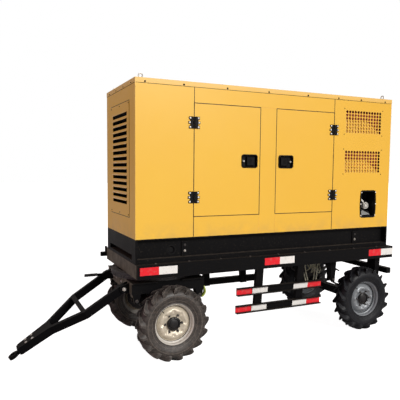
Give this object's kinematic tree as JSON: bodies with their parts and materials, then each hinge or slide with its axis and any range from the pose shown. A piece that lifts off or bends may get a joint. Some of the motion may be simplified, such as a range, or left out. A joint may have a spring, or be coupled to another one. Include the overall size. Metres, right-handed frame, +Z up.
{
  "type": "towable diesel generator",
  "caption": "Canopied diesel generating set on a turntable-steered trailer with a drawbar, lugged tyres, side guards and opening service doors.",
  "frame": {"origin": "on the ground, under the middle of the whole machine from the tow eye to the rear bumper", "axes": "-X points to the towing end and +X to the rear, -Y is the left-hand side as it is towed, +Z is up"},
  "size_m": [4.485, 1.316, 2.8614],
  "materials": {
    "canopy_yellow": "gloss enamel over pressed sheet",
    "frame_black": "satin enamel, dusty on its top faces",
    "base_black": "satin enamel",
    "ring_steel": "greased and dusty",
    "spring_steel": "dark rolled steel",
    "tyre_rubber": "dusty rubber",
    "rim_cream": "gloss enamel",
    "rim_silver": "metallic enamel",
    "hub_black": "satin enamel",
    "fitting_black": "moulded and coated fittings",
    "bright_steel": "zinc plated",
    "engine_paint": "satin enamel",
    "alternator_paint": "satin enamel",
    "radiator_black": "satin enamel",
    "exhaust_steel": "heat-stained steel",
    "grey_plastic": "moulded"
  },
  "bodies": {
    "chassis": {"deck_frame": "frame_black", "side_guard_left": "frame_black", "side_guard_right": "frame_black", "rear_bumper": "frame_black", "turntable_upper_ring": "ring_steel", "leaf_spring_rear_left": "spring_steel", "leaf_spring_rear_right": "spring_steel", "skid_base": "base_black", "side_panel_left": "canopy_yellow", "side_panel_right": "canopy_yellow", "roof_panel": "canopy_yellow", "front_panel": "canopy_yellow", "front_louvre": "canopy_yellow", "rear_panel": "canopy_yellow", "filler_box": "fitting_black", "lifting_eye_front_left": "bright_steel", "lifting_eye_front_right": "bright_steel", "lifting_eye_rear_left": "bright_steel", "lifting_eye_rear_right": "bright_steel", "engine": "engine_paint", "alternator": "alternator_paint", "radiator": "radiator_black", "muffler": "exhaust_steel", "battery": "grey_plastic", "control_panel": "grey_plastic"},
    "bogie": {"turntable_lower_ring": "ring_steel", "bogie_frame": "frame_black", "leaf_spring_front_left": "spring_steel", "leaf_spring_front_right": "spring_steel", "drawbar_pin_left": "bright_steel", "drawbar_pin_right": "bright_steel"},
    "axle_front": {"front_axle": "frame_black"},
    "axle_rear": {"rear_axle": "frame_black"},
    "towbar": {"drawbar": "frame_black", "tow_eye": "frame_black"},
    "parking_lever": {"brake_lever": "frame_black"},
    "wheel_front_left": {"tyre_front_left": "tyre_rubber", "rim_front_left": "rim_cream", "hub_front_left": "hub_black"},
    "wheel_front_right": {"tyre_front_right": "tyre_rubber", "rim_front_right": "rim_cream", "hub_front_right": "hub_black"},
    "wheel_rear_left": {"tyre_rear_left": "tyre_rubber", "rim_rear_left": "rim_silver", "hub_rear_left": "hub_black"},
    "wheel_rear_right": {"tyre_rear_right": "tyre_rubber", "rim_rear_right": "rim_silver", "hub_rear_right": "hub_black"},
    "side_door_front_left": {"door_front_left": "canopy_yellow"},
    "side_door_front_right": {"door_front_right": "canopy_yellow"},
    "side_door_rear_left": {"door_rear_left": "canopy_yellow"},
    "side_door_rear_right": {"door_rear_right": "canopy_yellow"},
    "side_latch_front_left": {"latch_front_left": "fitting_black"},
    "side_latch_front_right": {"latch_front_right": "fitting_black"},
    "side_latch_rear_left": {"latch_rear_left": "fitting_black"},
    "side_latch_rear_right": {"latch_rear_right": "fitting_black"},
    "control_door": {"rear_door": "canopy_yellow"},
    "control_latch": {"rear_latch": "fitting_black"},
    "fuel_cap": {"filler_cap": "bright_steel"},
    "fan": {"cooling_fan": "radiator_black"}
  },
  "joints": [
    {"name": "turntable_slew", "type": "hinge", "parent": "chassis", "child": "bogie", "pos_m": [-0.7095, 0, 0.8272], "axis": [0, 0, 1], "range_deg": [-75, 75]},
    {"name": "front_suspension", "type": "slide", "parent": "bogie", "child": "axle_front", "axis": [0, 0, 1], "range_m": [-0.02, 0.03], "stiffness_N_per_m": 380000, "springref_m": -0.0408, "deforming": ["leaf_spring_front_left", "leaf_spring_front_right"]},
    {"name": "rear_suspension", "type": "slide", "parent": "chassis", "child": "axle_rear", "axis": [0, 0, 1], "range_m": [-0.02, 0.03], "stiffness_N_per_m": 380000, "springref_m": -0.0327, "deforming": ["leaf_spring_rear_left", "leaf_spring_rear_right"]},
    {"name": "wheel_spin_front_left", "type": "hinge", "parent": "axle_front", "child": "wheel_front_left", "pos_m": [-0.7095, -0.568, 0.38], "axis": [0, 1, 0], "continuous": true},
    {"name": "wheel_spin_front_right", "type": "hinge", "parent": "axle_front", "child": "wheel_front_right", "pos_m": [-0.7095, 0.568, 0.38], "axis": [0, 1, 0], "continuous": true},
    {"name": "wheel_spin_rear_left", "type": "hinge", "parent": "axle_rear", "child": "wheel_rear_left", "pos_m": [1.7755, -0.568, 0.38], "axis": [0, 1, 0], "continuous": true},
    {"name": "wheel_spin_rear_right", "type": "hinge", "parent": "axle_rear", "child": "wheel_rear_right", "pos_m": [1.7755, 0.568, 0.38], "axis": [0, 1, 0], "continuous": true},
    {"name": "drawbar_pitch", "type": "hinge", "parent": "bogie", "child": "towbar", "pos_m": [-1.1635, 0, 0.727], "axis": [0, 1, 0], "range_deg": [0, 52]},
    {"name": "brake_lever_pull", "type": "hinge", "parent": "bogie", "child": "parking_lever", "pos_m": [-1.1955, 0.27, 0.745], "axis": [0, 1, 0], "range_deg": [0, 28]},
    {"name": "door_swing_front_left", "type": "hinge", "parent": "chassis", "child": "side_door_front_left", "pos_m": [-0.4775, -0.553, 2.025], "axis": [0, 0, -1], "range_deg": [0, 115]},
    {"name": "door_swing_front_right", "type": "hinge", "parent": "chassis", "child": "side_door_front_right", "pos_m": [-0.4775, 0.553, 2.025], "axis": [0, 0, 1], "range_deg": [0, 115]},
    {"name": "door_swing_rear_left", "type": "hinge", "parent": "chassis", "child": "side_door_rear_left", "pos_m": [1.2995, -0.553, 2.025], "axis": [0, 0, 1], "range_deg": [0, 115]},
    {"name": "door_swing_rear_right", "type": "hinge", "parent": "chassis", "child": "side_door_rear_right", "pos_m": [1.2995, 0.553, 2.025], "axis": [0, 0, -1], "range_deg": [0, 115]},
    {"name": "latch_pull_front_left", "type": "hinge", "parent": "side_door_front_left", "child": "side_latch_front_left", "pos_m": [0.2375, -0.5455, 2.025], "axis": [0, 0, 1], "range_deg": [0, 35]},
    {"name": "latch_pull_front_right", "type": "hinge", "parent": "side_door_front_right", "child": "side_latch_front_right", "pos_m": [0.2375, 0.5455, 2.025], "axis": [0, 0, -1], "range_deg": [0, 35]},
    {"name": "latch_pull_rear_left", "type": "hinge", "parent": "side_door_rear_left", "child": "side_latch_rear_left", "pos_m": [0.5705, -0.5455, 2.025], "axis": [0, 0, -1], "range_deg": [0, 35]},
    {"name": "latch_pull_rear_right", "type": "hinge", "parent": "side_door_rear_right", "child": "side_latch_rear_right", "pos_m": [0.5705, 0.5455, 2.025], "axis": [0, 0, 1], "range_deg": [0, 35]},
    {"name": "control_door_swing", "type": "hinge", "parent": "chassis", "child": "control_door", "pos_m": [2.1835, -0.34, 2.01], "axis": [0, 0, -1], "range_deg": [0, 110]},
    {"name": "control_latch_pull", "type": "hinge", "parent": "control_door", "child": "control_latch", "pos_m": [2.176, 0.288, 1.89], "axis": [0, 0, 1], "range_deg": [0, 35]},
    {"name": "fuel_cap_turn", "type": "hinge", "parent": "chassis", "child": "fuel_cap", "pos_m": [1.8765, -0.467, 1.506], "axis": [0, -1, 0], "range_deg": [0, 90]},
    {"name": "fan_spin", "type": "hinge", "parent": "chassis", "child": "fan", "pos_m": [-0.5375, 0, 1.9], "axis": [1, 0, 0], "continuous": true}
  ]
}
